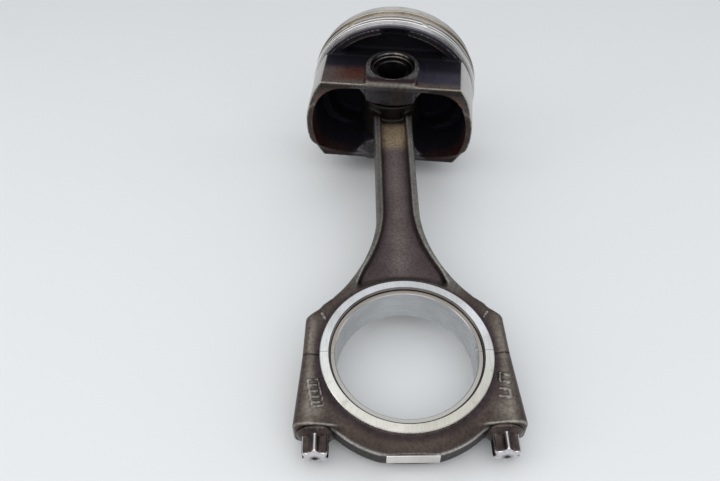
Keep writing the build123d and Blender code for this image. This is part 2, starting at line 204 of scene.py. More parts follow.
def forging(x, y, z):
    """Rod and cap together, before the split."""
    r, ax, az = np.hypot(x, y), np.abs(x), np.abs(z)
    body = smin(strap(x, y, r, az), bolt_boss(y, ax, az), 1.8)
    body = smin(body, beam(x, y, r, ax, az), 2.4)
    moat = az - 6.4 - 0.22 * np.maximum(r - 32.0, 0) ** 1.5 - 0.3 * np.maximum(30.0 - r, 0)
    body = smax(body, np.where(y < 60, moat, -9.0), 0.8)
    body = smin(body, small_end(x, y, az), 1.6)
    body = np.maximum(body, 28.9 - r)
    body = smax(body, bush_r - 0.02 - np.hypot(x, y - pin_y), 0.5)
    hole = rmax(np.hypot(ax - bolt_x, z) - bolt_hole_r, y - bolt_tip - 1.0, 0.3)
    body = np.maximum(body, -hole)
    return smin(body, makers_marks(x, y, z), 0.35)


def bar(x, y, a, b, width):
    """Distance to a rounded bar between two points of the face."""
    ux, uy = b[0] - a[0], b[1] - a[1]
    t = np.clip(((x - a[0]) * ux + (y - a[1]) * uy) / (ux * ux + uy * uy), 0, 1)
    return np.hypot(x - a[0] - ux * t, y - a[1] - uy * t) - width


mark_corners = [(-34.6, -10.6), (-31.0, -10.2), (-28.9, -19.6), (-32.6, -20.6)]
mark_frame = list(zip(mark_corners, mark_corners[1:] + mark_corners[:1]))
mark_bars = [((-33.6, -12.6), (-31.5, -12.3)), ((-33.2, -14.8), (-31.1, -14.5)),
             ((-32.8, -17.0), (-30.7, -16.7)), ((-32.3, -19.0), (-30.4, -18.7)),
             ((31.8, -8.4), (34.8, -9.4)), ((31.6, -11.4), (34.6, -12.2)), ((31.2, -14.2), (34.4, -15.0)),
             ((30.8, -17.0), (34.2, -17.8)), ((31.8, -8.4), (31.6, -11.4)), ((34.4, -15.0), (34.2, -17.8)),
             ((-30.6, 17.2), (-29.2, 15.0)), ((29.4, 15.2), (30.6, 17.0))]


def makers_marks(x, y, z):
    """Raised foundry marks on the upper faces of the bolt bosses, as plain bars."""
    marks = np.full_like(x, 50.0)
    for bars, width in ((mark_frame, 0.24), (mark_bars, 0.38)):
        for a, b in bars:
            marks = np.minimum(marks, bar(x, y, a, b, width))
    top = boss_height(np.abs(x)) + 0.32
    return rmax(marks, np.maximum(z - top, 5.0 - z), 0.15)


split_half, split_edge = 0.06, 0.12


def rod_field(x, y, z):
    """Forging above the split."""
    return rmax(forging(x, y, z), split_half - y, split_edge)


def cap_field(x, y, z):
    """Forging below the split."""
    return rmax(forging(x, y, z), y + split_half, split_edge)


def rounded_box(px, py, hx, hy, r):
    """Rectangle with half-sides hx and hy and corners rounded to r."""
    qx, qy = np.abs(px) - hx + r, np.abs(py) - hy + r
    return np.minimum(np.maximum(qx, qy), 0) + np.hypot(np.maximum(qx, 0), np.maximum(qy, 0)) - r


def belt_core(y, r, ax, az):
    """Metal behind the lathed ring belt, with the recesses over the flat walls and their notches."""
    reach = np.where(y > 24.2, 38.4, np.where(y < 9.7, 38.95, 35.6))
    core = np.maximum(r - reach, np.maximum(y - crown_y + 0.02, belt_low + 0.05 - y))
    bevel = 1.6 * soft(y, belt_low + 2.2, belt_low)
    recess = rmax(r - 34.2 - bevel, wall_z - az, 3.0)
    recess = rmax(recess, y - belt_low - 7.0, 2.0)
    notch = rounded_box(ax, y - belt_low, 4.2, 1.3, 0.4)
    notch = np.maximum(notch, np.maximum(r - 37.2, 30.0 - az))
    return rmax(core, -np.minimum(recess, notch), 0.4)


def skirts(y, r, az):
    """Two skirts joined by flat side walls, up to the ring belt."""
    skirt = np.maximum(rmax(r - skirt_r, az - wall_z, 0.6), y - belt_low - 7.5)
    return np.maximum(skirt, np.where(y > belt_low + 0.7, r - 35.6, -9.0))


def hollow(y, r, az):
    """Space between the skirts, narrower under the crown."""
    lower = rmax(rmax(r - 36.8, az - hollow_z, 7.5), y - belt_low - 1.0, 1.2)
    upper = rmax(rmax(r - 33.0, az - hollow_z, 7.5), y - 18.6, 3.0)
    return smin(lower, upper, 1.5)


def pin_bosses(x, y, ax, az):
    """Ribs behind the pin bosses, and the bosses with the pads under them."""
    inner_end = boss_in + 0.018 * x * x
    spread = ax - np.interp(az, [10.6, 14.6, 21.2], [9.6, 12.4, 17.5])
    rib = rmax(spread * 0.8, np.maximum(-12.2 - y, y - 19.6), 1.5)
    rib = rmax(rib, np.maximum(inner_end + 0.4 - az, az - 21.2), 1.2)
    pad = rmax(past(ax, y, pad_line), np.maximum(-13.6 - y, y), 1.2)
    boss = smin(np.hypot(x, y) - boss_r, pad, 0.8)
    return rib, rmax(boss, np.maximum(az - boss_out, inner_end - az), 0.8)


def drains(x, y, z):
    """Oil drains from the oil groove into the hollow."""
    holes = np.full_like(x, 50.0)
    for angle in drain_angles:
        ux, uz = cos(radians(angle)), -sin(radians(angle))
        along = x * ux + z * uz
        across = np.hypot(x - ux * along, np.hypot(z - uz * along, y - drain_y))
        holes = np.minimum(holes, np.maximum(across - drain_r, 30.0 - along))
    return holes


def valve_pockets(body, x, y, z):
    """Body with the four tilted valve pockets sunk in its crown."""
    for side, radius, depth in valve_sizes:
        tilt = radians(side * valve_tilt)
        for pz in (-valve_pitch_half, valve_pitch_half):
            dx, dy, dz = x - side * valve_x, y - crown_y - 0.4, z - pz
            rise = -sin(tilt) * dx + cos(tilt) * dy
            run = np.sqrt(np.maximum(dx * dx + dy * dy + dz * dz - rise * rise, 0))
            body = rmax(body, -rmax(run - radius, -depth - rise, 0.8), 0.25)
    return body


def piston_field(x, y, z):
    """Casting of the piston, apart from the lathed ring belt and boss bores."""
    ax, az, r = np.abs(x), np.abs(z), np.hypot(x, z)
    skirt, space = skirts(y, r, az), hollow(y, r, az)
    body = rmin(belt_core(y, r, ax, az), np.maximum(skirt, r - 38.8), 1.2)
    body = np.minimum(rmax(body, -space, 0.6), rmax(skirt, -space, 0.6))
    body = rmax(body, skirt_low - y, 0.5)
    tail = rmax(r - skirt_r - 0.2, az - 19.1 - 1.2 * (y + 14.2), 7.0) * 0.7
    body = rmax(body, -rmax(y + 14.2, -tail, 1.5), 0.6)
    rib, boss = pin_bosses(x, y, ax, az)
    body = smin(smin(body, rib, 2.4), boss, 1.8)
    body = np.maximum(body, cored_r - np.hypot(x, y))
    body = np.maximum(body, -drains(x, y, z))
    return valve_pockets(body, x, y, z)


# ---- field to mesh ----
def gradient(field, p, h):
    """Slope of a field at points, and the sum of the six values round each."""
    steps = np.eye(3) * h
    pairs = [(field(*(p + s).T), field(*(p - s).T)) for s in steps]
    slope = np.stack([(a - b) / (2 * h) for a, b in pairs], 1)
    return slope, sum(a + b for a, b in pairs)


def net(field, low, high, step):
    """Surface of a distance field as quads: one vertex in each cell that the surface crosses."""
    low = np.array(low, float)
    counts = np.ceil((np.array(high) - low) / step).astype(int) + 1
    axes = [low[i] + step * np.arange(counts[i]) for i in range(3)]
    slab = 12
    value = np.concatenate([field(*np.meshgrid(axes[0][i:i + slab], axes[1], axes[2], indexing="ij"))
                            for i in range(0, counts[0], slab)])
    inside = value < 0
    cells = tuple(n - 1 for n in inside.shape)
    total = np.zeros(cells, int)
    for corner in np.ndindex(2, 2, 2):
        total += inside[tuple(slice(c, c + n) for c, n in zip(corner, cells))]
    active = (total > 0) & (total < 8)
    number = np.full(cells, -1)
    number[active] = np.arange(active.sum())
    at = np.argwhere(active)
    summed, hits = np.zeros((len(at), 3)), np.zeros(len(at))
    for axis in range(3):
        u, v = [a for a in range(3) if a != axis]
        for iu, iv in np.ndindex(2, 2):
            start = np.zeros(3, int)
            start[u], start[v] = iu, iv
            end = start.copy()
            end[axis] = 1
            f0, f1 = value[tuple((at + start).T)], value[tuple((at + end).T)]
            crossed = (f0 < 0) != (f1 < 0)
            t = f0[crossed] / (f0[crossed] - f1[crossed])
            spot = np.tile(start.astype(float), (len(t), 1))
            spot[:, axis] = t
            summed[crossed] += spot
            hits[crossed] += 1
    verts = low + step * (at + summed / hits[:, None])
    quads = []
    for axis in range(3):
        u, v = (axis + 1) % 3, (axis + 2) % 3
        a = inside[tuple(slice(0, -1) if i == axis else slice(1, -1) for i in range(3))]
        b = inside[tuple(slice(1, None) if i == axis else slice(1, -1) for i in range(3))]
        for crossing, flip in ((a & ~b, False), (~a & b, True)):
            spots = np.argwhere(crossing) + [0 if i == axis else 1 for i in range(3)]
            du, dv = np.eye(3, dtype=int)[u], np.eye(3, dtype=int)[v]
            loop = [number[tuple((spots - s).T)] for s in (du + dv, dv, 0 * du, du)]
            quads.append(np.stack(loop[::-1] if flip else loop, 1))
    quads = np.concatenate(quads)
    for _ in range(3):
        slope, _ = gradient(field, verts, 0.02)
        away = field(*verts.T)[:, None] * slope / np.maximum((slope ** 2).sum(1, keepdims=True), 0.2)
        verts = verts - np.clip(away, -0.4 * step, 0.4 * step)
    return verts, quads


def surface_marks(field, verts):
    """Sharpness of edge, depth in a hollow, sharpness of inside corner, downward facing; all 0 to 1."""
    slope, _ = gradient(field, verts, 0.05)
    slope /= np.maximum(np.linalg.norm(slope, axis=1, keepdims=True), 1e-6)
    reach = 0.45
    _, around = gradient(field, verts, reach)
    bend = (around - 6 * field(*verts.T)) / reach ** 2
    shade = sum(np.clip(1 - field(*(verts + slope * d).T) / d, 0, 1) for d in (1.5, 4.0, 9.0)) / 3
    return {"edge": np.clip(bend / 2.2, 0, 1), "deep": shade, "inner": np.clip(-bend / 1.2, 0, 1),
            "down": np.clip(-slope[:, 1], 0, 1)}


def near(value, middle, width):
    """Bell that is 1 at the middle."""
    return np.exp(-((value - middle) / width) ** 2)


def over(tint, *layers):
    """Tint with layers of a share and a colour laid over it in turn."""
    for share, color in layers:
        share = np.asarray(share, float).reshape(-1, 1)
        tint = tint * (1 - share) + np.array(color) * share
    return tint


# ---- painted colours ----
forged_brown, web_purple, web_highlight = (0.092, 0.07, 0.06), (0.094, 0.07, 0.072), (0.165, 0.135, 0.128)
flange_grey, flange_purple, flange_lit_side = (0.125, 0.118, 0.104), (0.12, 0.1, 0.118), (0.24, 0.235, 0.215)
boss_crest_highlight, boss_glint, straw = (0.27, 0.235, 0.2), (0.36, 0.33, 0.28), (0.54, 0.42, 0.27)
moat_shade_tone, olive_shaded, eye_shade = (0.04, 0.026, 0.038), (0.045, 0.034, 0.024), (0.022, 0.015, 0.014)
hollow_shade, inside_corner_shade = (0.022, 0.014, 0.018), (0.022, 0.015, 0.017)
strap_low, strap_side_shade, strap_rim_highlight = (0.04, 0.028, 0.022), (0.022, 0.018, 0.018), (0.6, 0.59, 0.56)
worn_edge_highlight, under_piston_shade, split_dark = (0.46, 0.45, 0.41), (0.012, 0.009, 0.008), (0.02, 0.014, 0.014)


def web_tint(tint, x, y, r, az):
    """Floor of the pocket: purple, with a painted highlight down its middle."""
    web = soft(az, 5.6, 3.6) * soft(r, 31.0, 33.0) * (y > 20)
    # Painted highlight: a paler band down the middle of the web.
    mid_highlight = web * near(x, 0.0, 3.2 + 0.05 * np.maximum(70.0 - y, 0)) * 0.9
    return over(tint, (web, web_purple), (mid_highlight, web_highlight))


def flange_tint(tint, x, y, az):
    """Flanges of the beam, greyer than the web, with painted light on the flange at positive x."""
    flange = soft(az, 5.7, 6.3) * soft(y, 24, 34) * soft(y, 134, 124)
    # The last layer is painted light, lightening the flange at positive x.
    return over(tint, (flange, flange_grey), (flange * soft(y, 112, 122) * 0.7, flange_purple),
                (flange * soft(x, 4.0, 8.0) * 0.6, flange_lit_side))


def big_end_tint(tint, y, z, r, ax, az):
    """Painted highlights on the crests and lower ends of the bolt bosses, and a ring of painted shade in the
    moat round the thrust face.
    """
    crest = near(ax, boss_crest_x, 1.7) * soft(az, 5.5, 6.8) * soft(y, 20, 10)
    glint = near(y, -21.5, 3.0) * near(ax, 32.0, 3.2) * soft(z, 5.0, 6.5)
    # The mask named oil is painted shade in the moat beside the thrust ring.
    oil = 0.75 * soft(r, 34.0, 31.2) * soft(az, 5.0, 6.0)
    return over(tint, (0.8 * crest, boss_crest_highlight), (0.6 * glint, boss_glint), (oil, moat_shade_tone))


def small_end_tint(tint, y, ax, az):
    """Straw heat colour below the eye; an olive tone darkened as painted shade, and painted shade on the eye.
    """
    heat = soft(y, 108, 118) * soft(y, 131, 127) * soft(az, 4.2, 3.2) * soft(ax, 6.0, 5.0)
    # eye marks the painted shade on the eye, where it runs in under the piston.
    eye = np.maximum(soft(y, 134, 139), soft(az, 6.7, 7.2) * soft(y, 122, 126))
    return over(tint, (0.9 * heat, straw), (0.8 * soft(y, 125, 131), olive_shaded), (0.9 * eye, eye_shade))


def rod_tint(p, marks):
    """Colours of the used forging: purple-brown web, greyer flanges, heat colour by the small end, with
    painted shade and painted highlights laid over them.
    """
    x, y, z = p.T
    ax, az, r = np.abs(x), np.abs(z), np.hypot(x, y)
    tint = np.tile(forged_brown, (len(p), 1))
    tint = web_tint(tint, x, y, r, az)
    tint = flange_tint(tint, x, y, az)
    tint = big_end_tint(tint, y, z, r, ax, az)
    tint = small_end_tint(tint, y, ax, az)
    below = soft(y, -22.0, -27.0) * (r > 31.2) * soft(ax, 27.0, 22.0)
    side = (y < -20.0) * soft(r, 36.5, 37.1) * (ax < 31.0)
    smooth = soft(r, 35.0, 33.5) * soft(y, -17.0, -20.0) * soft(ax, 28.0, 26.0)
    edge = soft(marks["edge"], 0.2, 0.9) * (np.abs(y) > 0.9) * soft(y, 131, 128) * (1 - smooth)
    return over(
        tint,
        # Painted shade in hollows and inside corners, on the strap's side face and where the rod runs under
        # the piston; a painted highlight on the strap's rim; edges lightened by wear with a painted
        # highlight.
        (0.85 * soft(marks["deep"], 0.25, 0.8), hollow_shade),
        (0.6 * marks["inner"], inside_corner_shade),
        (0.55 * below, strap_low),
        (0.8 * side * soft(az, 3.3, 2.7), strap_side_shade),
        (0.8 * edge, worn_edge_highlight),
        (0.85 * side * near(az, 3.3, 0.5), strap_rim_highlight),
        (0.96 * soft(y, 129.0, 130.6), under_piston_shade),
        (0.7 * soft(np.abs(y), 0.3, 0.1), split_dark),
    )


cast_brown, wall_brown, varnish_red = (0.062, 0.052, 0.048), (0.105, 0.082, 0.07), (0.105, 0.032, 0.021)
wall_grey, wall_blue, recess_shade = (0.095, 0.078, 0.078), (0.034, 0.032, 0.058), (0.01, 0.008, 0.018)
inside_oil_and_shade, inner_red, skirt_end = (0.013, 0.011, 0.02), (0.1, 0.036, 0.028), (0.066, 0.054, 0.046)
end_dark, floor_side_shade, pad_grey = (0.032, 0.025, 0.022), (0.03, 0.018, 0.016), (0.088, 0.084, 0.092)
black_corner_shade, under_belt_shade, turned_grey = (0.006, 0.005, 0.01), (0.016, 0.014, 0.022), (0.56, 0.55, 0.53)
crown_soot, boss_face, wall_foot = (0.17, 0.145, 0.12), (0.15, 0.145, 0.155), (0.035, 0.018, 0.022)
edge_highlight_tan, lip_highlight_tan, rim_highlight_tan = (0.46, 0.42, 0.36), (0.5, 0.45, 0.36), (0.52, 0.48, 0.42)
pad_dark = (0.052, 0.048, 0.054)


def wall_tint(tint, x, y, az):
    """Flat side walls: red varnish on one half, blue on the other, and painted shade darkening them up into
    the recess.
    """
    left, mid = soft(x, 6.0, -8.0), soft(y, -12.6, -9.0)
    wall = soft(az, 21.6, 22.4) * soft(az, 24.0, 23.2) * soft(y, 10.0, 8.0)
    return over(
        tint,
        (wall, wall_brown),
        (wall * mid * left * 0.9, varnish_red),
        (wall * mid * left * soft(x, -20.0, -30.0) * 0.75, wall_grey),
        (wall * mid * (1 - left) * 0.9, wall_blue),
        # Painted shade where the wall rises into the recess under the belt.
        (wall * soft(y, -4.5, 1.5), recess_shade),
    )


def skirt_end_tint(tint, y, z, r, ax, az, marks, inside):
    """Near-black inside of the skirts, oil with painted shade, red near their open ends, the cast end faces,
    and painted shade on the end nearest the floor.
    """
    end = soft(marks["down"], 0.6, 0.9) * soft(y, -11.5, -12.5)
    under = (np.abs(y + 13.3) < 1.9) * (az < 22.2) * soft(ax, 20.0, 16.0) * soft(az, 10.4, 11.2)
    return over(
        tint,
        # The inside is near-black: oil darkening with painted shade over it.
        (inside, inside_oil_and_shade),
        (inside * soft(y, -6.0, -15.0) * soft(r, 25.0, 31.0) * 0.8, inner_red),
        (end * 0.9, skirt_end),
        (end * soft(az, 18.8, 19.8) * 0.8, end_dark),
        # Painted shade on the skirt end nearest the floor.
        (soft(y, -9.0, -12.0) * soft(z, -14.0, -18.0) * (az < 22.0) * 0.6, floor_side_shade),
        (under * 0.8, pad_grey),
    )


def boss_tint(tint, x, y, r, az):
    """End faces of the pin bosses, the foot of the wall beside them, and the pads."""
    face = (az > boss_out - 0.15) * (az < boss_out + 0.2) * (np.hypot(x, y) < 13.5)
    foot = (az > 22.9) * (r < 30.0) * soft(y, -8.5, -11.0) * (y > -13.5)
    pad = soft(y, -13.2, -13.5) * soft(y, -14.1, -13.8) * soft(az, 10.0, 11.0)
    return over(tint, (face * (0.45 + 0.55 * soft(np.abs(x), 4.0, 9.0)), boss_face), (foot, wall_foot),
                (pad * (np.abs(x) < 11.2) * (az < 24.4), pad_dark))


def piston_tint(p, marks):
    """Colours of the used casting: varnish inside, painted shade in the recesses, corners and notches,
    painted highlights on edges, lip and rim, bare turned surfaces.
    """
    x, y, z = p.T
    ax, az, r = np.abs(x), np.abs(z), np.hypot(x, z)
    belt_face = belt_low + 0.05
    inside = soft(r, 37.4, 36.9) * soft(az, 20.6, 20.0)
    corner = soft(az, 21.8, 22.4) * soft(r, 38.9, 38.5) * soft(y, 5.0, 7.5) * (y < 17.0)
    below = soft(az, 22.6, 23.0) * soft(r, 39.2, 38.9) * (np.abs(y - belt_face) < 0.45)
    tint = wall_tint(np.tile(cast_brown, (len(p), 1)), x, y, az)
    tint = skirt_end_tint(tint, y, z, r, ax, az, marks, inside)
    # Painted shade in the corner under the belt and along the belt's lower face.
    tint = over(tint, (corner, black_corner_shade), (below, under_belt_shade), (marks["turned"], turned_grey),
                ((y > 20.0) * 0.8, crown_soot))
    tint = boss_tint(tint, x, y, r, az)
    shaded = soft(y, 2.0, 5.0) * (y < 18.0) * (r < 38.0) * (az > 21.5)
    bright = soft(marks["edge"], 0.25, 0.95) * (1 - 0.96 * inside) * (1 - shaded)
    bright = bright * np.where((z < 0) & (y < -11.0), 0.45, 1.0)
    bright = bright * np.where((y < -11.0) & (az > 18.8), 0.5, 1.0)
    notch = (ax < 5.2) * (r > 35.0) * (r < 38.0) * (az > 25.0) * (y > 7.95) * (y < 17.0)
    lip = soft(y, -13.4, -13.9) * soft(az, 22.1, 22.5) * (y > -14.6) * (np.hypot(x, y) > 13.5)
    rim = near(r, 35.8, 0.4) * (np.abs(y - belt_face) < 0.5) * soft(az, 25.0, 29.0)
    # Painted highlights on edges, the wall's lip and the recess rim; painted shade in the belt notches.
    return over(tint, (0.75 * bright, edge_highlight_tan), (notch * 0.95, black_corner_shade),
                (lip * np.where(z > 0, 0.38, 0.1), lip_highlight_tan), (0.8 * rim, rim_highlight_tan))


# Lands from the crown down to the end of the belt, each from its top: height and colour. The two near-black
# bands on the lowest land are painted shade.
land_colors = ((30.0, (0.6, 0.6, 0.575)), (19.5, (0.64, 0.59, 0.53)), (15.6, (0.84, 0.83, 0.83)),
               (11.45, (0.5, 0.49, 0.5)), (10.1, (0.045, 0.04, 0.055)), (9.4, (0.32, 0.31, 0.34)),
               (8.8, (0.045, 0.04, 0.055)))
belt_side_dark, belt_side_darker, low_land_shade = (0.12, 0.112, 0.105), (0.1, 0.095, 0.095), (0.03, 0.027, 0.038)


def belt_tint(p):
    """Ring belt: a colour for each land, darker towards the skirts' middles, with painted shade in the
    grooves, on the lowest land and under the belt.
    """
    side, y, r = np.abs(p[:, 0]), p[:, 1], np.hypot(p[:, 0], p[:, 2])
    lands = [(y < top, color) for top, color in land_colors]
    return over(
        np.zeros((len(p), 3)), *lands,
        (0.6 * soft(side, 18.0, 37.0) * (y < 25.8), belt_side_dark),
        (0.8 * soft(side, 12.0, 30.0) * (y < 15.6), belt_side_darker),
        # Painted shade on the lowest land, in the grooves and under the belt.
        (soft(y, 8.7, 8.3), low_land_shade),
        ((y < 7.9) * soft(r, 39.5, 39.2), under_belt_shade),
        (soft(r, 39.2, 38.6) * (y < 25.0), under_belt_shade),
        ((r < 38.5) * (y > 21.5), crown_soot),
    )


# ---- meshes and materials ----
piston_turn = Matrix.Rotation(lean, 3, "Z")


def to_piston(points):
    """Points of the piston's own frame, leaned and lifted to the pin."""
    return points @ np.array(piston_turn).T + np.array([0, pin_y, 0])


def make(name, verts, faces, paint, body, nodes, marks=None, sharp=35.0):
    """Mesh object riding its body and standing for its nodes.

    Points are millimetres, in the piston's own frame for every body but the rod.
    """
    verts = np.asarray(verts) if body == "rod" else to_piston(verts)
    name = name.replace(" ", "_")
    mesh = bpy.data.meshes.new(name)
    mesh.from_pydata((verts / 1000.0).tolist(), [], [list(map(int, f)) for f in faces])
    mesh.update()
    for label, values in (marks or {}).items():
        values = np.asarray(values, np.float32)
        layer = mesh.attributes.new(label, "FLOAT" if values.ndim == 1 else "FLOAT_VECTOR", "POINT")
        layer.data.foreach_set("value" if values.ndim == 1 else "vector", values.ravel())
    mesh.materials.append(paint)
    mesh.polygons.foreach_set("use_smooth", [True] * len(mesh.polygons))
    mesh.set_sharp_from_angle(angle=radians(sharp))
    thing = bpy.data.objects.new(name, mesh)
    bpy.context.scene.collection.objects.link(thing)
    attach(thing, body)
    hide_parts(*nodes)


def lathe(profile, axis="z", start=0.0, stop=360.0, steps=256, shape=None, closed=True):
    """Profile of (radius, height) turned about an axis by degrees; shape may bend it at each angle."""
    whole = stop - start >= 359.99
    count = steps if whole else steps + 1
    angles = np.radians(start + (stop - start) * np.arange(count) / steps)
    outline = np.array(profile, float)
    n = len(outline)
    rows = []
    for angle in angles:
        radius, height = outline[:, 0].copy(), outline[:, 1].copy()
        if shape:
            radius, height = shape(radius, height, angle)
        c, s = radius * cos(angle), radius * sin(angle)
        rows.append(np.stack([c, s, height] if axis == "z" else [c, height, -s], 1))
    verts = np.concatenate(rows)
    faces = []
    for i in range(count if whole else count - 1):
        j = (i + 1) % count
        for k in range(n if closed else n - 1):
            m = (k + 1) % n
            faces.append((i * n + k, j * n + k, j * n + m, i * n + m))
    if closed and not whole:
        faces.append(tuple(range(n)))
        faces.append(tuple((count - 1) * n + k for k in range(n))[::-1])
    return verts, faces


def fine(profile, longest):
    """Profile with its long sides divided."""
    out = []
    for (r0, h0), (r1, h1) in zip(profile, profile[1:] + profile[:1]):
        parts = max(1, int(hypot(r1 - r0, h1 - h0) / longest))
        out += [(r0 + (r1 - r0) * i / parts, h0 + (h1 - h0) * i / parts) for i in range(parts)]
    return out


def mirrored(half):
    """Profile from the half that lies below height 0, given from its inside out."""
    return half + [(radius, -height) for radius, height in half[::-1]]


class Paint:
    """Short hand for a node material built from procedural textures and mesh attributes."""

    def __init__(self, name):
        self.material = bpy.data.materials.new(name)
        self.material.use_nodes = True
        self.tree = self.material.node_tree
        self.shader = self.tree.nodes["Principled BSDF"]
        self.place = self.tree.nodes.new("ShaderNodeTexCoord").outputs["Object"]

    def put(self, socket, value):
        if isinstance(value, bpy.types.NodeSocket):
            self.tree.links.new(value, socket)
        elif isinstance(value, (tuple, list)) and len(value) == 3 and socket.type == "RGBA":
            socket.default_value = (*value, 1)
        else:
            socket.default_value = value

    def node(self, kind, out=0, settings=None, **inputs):
        made = self.tree.nodes.new(kind)
        for key, value in (settings or {}).items():
            setattr(made, key, value)
        for key, value in inputs.items():
            self.put(made.inputs[int(key[1:]) if key[0] == "i" and key[1:].isdigit() else key], value)
        return made.outputs[out]

    def attribute(self, name, out="Fac"):
        return self.node("ShaderNodeAttribute", out, {"attribute_name": name})

    def noise(self, scale, detail=4.0, rough=0.55, at=None):
        return self.node("ShaderNodeTexNoise", 0, None, Vector=at or self.place, Scale=scale,
                         Detail=detail, Roughness=rough)

    def lines(self, x, y, z, detail=3.0):
        """Noise stretched into tool lines, by its scale along each axis."""
        place = self.node("ShaderNodeVectorMath", 0, {"operation": "MULTIPLY"}, i0=self.place, i1=(x, y, z))
        return self.noise(1.0, detail, 0.6, at=place)

    def cells(self, scale):
        return self.node("ShaderNodeTexVoronoi", 0, None, Vector=self.place, Scale=scale)

    def sum(self, operation, a, b=0.5, c=0.5):
        made = self.tree.nodes.new("ShaderNodeMath")
        made.operation = operation
        for socket, value in zip(made.inputs, (a, b, c)):
            self.put(socket, value)
        return made.outputs[0]

    def span(self, value, low, high, to_low=0.0, to_high=1.0):
        made = self.tree.nodes.new("ShaderNodeMapRange")
        made.interpolation_type = "SMOOTHSTEP"
        for socket, v in zip(made.inputs, (value, low, high, to_low, to_high)):
            self.put(socket, v)
        return made.outputs[0]

    def mix(self, share, a, b, how="MIX"):
        made = self.tree.nodes.new("ShaderNodeMix")
        made.data_type = "RGBA"
        made.blend_type = how
        self.put(made.inputs[0], share)
        self.put(made.inputs[6], a)
        self.put(made.inputs[7], b)
        return made.outputs[2]

    def times(self, share, tone, factor):
        """Tone with a share of its product with a factor."""
        return self.mix(share, tone, self.mix(1.0, tone, factor, "MULTIPLY"))

    def axes(self):
        made = self.tree.nodes.new("ShaderNodeSeparateXYZ")
        self.put(made.inputs[0], self.place)
        return made.outputs

    def bumps(self, *layers):
        normal = None
        for height, strength, distance in layers:
            made = self.tree.nodes.new("ShaderNodeBump")
            self.put(made.inputs["Height"], height)
            made.inputs["Strength"].default_value = strength
            made.inputs["Distance"].default_value = distance
            if normal is not None:
                self.put(made.inputs["Normal"], normal)
            normal = made.outputs[0]
        self.put(self.shader.inputs["Normal"], normal)

    def finish(self, color, rough, metal):
        self.put(self.shader.inputs["Base Color"], color)
        self.put(self.shader.inputs["Roughness"], rough)
        self.put(self.shader.inputs["Metallic"], metal)
        return self.material


def worn(p, tone, cloud, grain, amount=0.55):
    """Uneven tone: cloudy patches and dark grain over a painted colour."""
    tone = p.times(p.span(cloud, 0.3, 0.7, amount, 0.0), tone, (0.55, 0.52, 0.5))
    return p.times(p.span(grain, 0.36, 0.6, 0.6, 0.0), tone, (0.3, 0.27, 0.26))


def forged_skin():
    """Forging: grainy scale with shallow pits, over the painted colours."""
    p = Paint("forged skin")
    grain, cloud, pits = p.noise(900.0, 6.0, 0.7), p.noise(110.0, 4.0), p.cells(650.0)
    tone = worn(p, p.attribute("tint", "Color"), cloud, grain)
    p.bumps((grain, 0.4, 0.00022), (pits, 0.15, 0.0002), (cloud, 0.25, 0.0004))
    return p.finish(tone, p.span(grain, 0.3, 0.7, 0.34, 0.54), 0.75)


def machined(name, bright, dark, rough, lines, warm=(0.8, 0.66, 0.5), metal=1.0):
    """Turned or ground metal: fine tool lines, faint stains and dark flecks."""
    p = Paint(name)
    cloud, stain, fleck = p.noise(60.0, 3.0), p.noise(150.0, 5.0, 0.65), p.noise(1500.0, 2.0)
    streak = p.lines(*lines)
    tone = p.mix(p.span(cloud, 0.35, 0.7), bright, dark)
    tone = p.mix(p.span(stain, 0.55, 0.78, 0.0, 0.45), tone, warm)
    tone = p.mix(p.span(streak, 0.3, 0.7, 0.0, 0.25), tone, dark)
    tone = p.mix(p.span(fleck, 0.62, 0.75, 0.0, 0.35), tone, (0.12, 0.1, 0.09))
    p.bumps((streak, 0.1, 0.0001), (fleck, 0.05, 0.0001))
    return p.finish(tone, p.span(streak, 0.3, 0.7, rough, rough + 0.14), metal)


def ground_skin():
    """Thrust faces: ground lines, bluish above and yellowed below, with stains and flecks."""
    p = Paint("ground thrust face")
    y = p.axes()[1]
    cloud, stain, fleck = p.noise(28.0, 3.0), p.noise(220.0, 6.0, 0.7), p.noise(1500.0, 2.0)
    hatch = p.lines(2600.0, 160.0, 30.0)
    tone = p.mix(p.span(y, -0.028, 0.02), (0.82, 0.8, 0.73), (0.74, 0.76, 0.79))
    tone = p.times(p.span(cloud, 0.38, 0.66, 0.0, 0.75), tone, (0.66, 0.65, 0.62))
    tone = p.mix(p.span(stain, 0.52, 0.75, 0.0, 0.5), tone, (0.4, 0.36, 0.3))
    tone = p.times(p.span(hatch, 0.3, 0.7, 0.0, 0.3), tone, (0.6, 0.6, 0.58))
    tone = p.mix(p.span(fleck, 0.66, 0.78, 0.0, 0.5), tone, (0.1, 0.09, 0.08))
    p.bumps((hatch, 0.1, 0.0001), (fleck, 0.06, 0.0001))
    return p.finish(tone, p.span(hatch, 0.3, 0.7, 0.24, 0.4), 1.0)


def lining_skin():
    """Bearing lining: fine turned lines in the bore, duller and heat-tinted end faces."""
    p = Paint("bearing lining")
    y, z = p.axes()[1:]
    cloud, fleck = p.noise(45.0, 3.0), p.noise(1500.0, 2.0)
    lines = p.lines(30.0, 30.0, 2600.0)
    tone = p.mix(p.span(cloud, 0.35, 0.7), (0.6, 0.62, 0.63), (0.46, 0.47, 0.48))
    tone = p.mix(p.span(lines, 0.3, 0.7, 0.0, 0.3), tone, (0.4, 0.41, 0.42))
    end = p.span(p.sum("ABSOLUTE", z), 0.00705, 0.00722)
    rim = p.mix(p.span(y, -0.02, 0.012), (0.46, 0.45, 0.42), (0.33, 0.295, 0.26))
    tone = p.mix(end, tone, rim)
    tone = p.mix(p.span(fleck, 0.66, 0.78, 0.0, 0.4), tone, (0.14, 0.12, 0.11))
    p.bumps((lines, 0.1, 0.0001), (fleck, 0.05, 0.0001))
    return p.finish(tone, p.span(lines, 0.3, 0.7, 0.24, 0.38), 1.0)


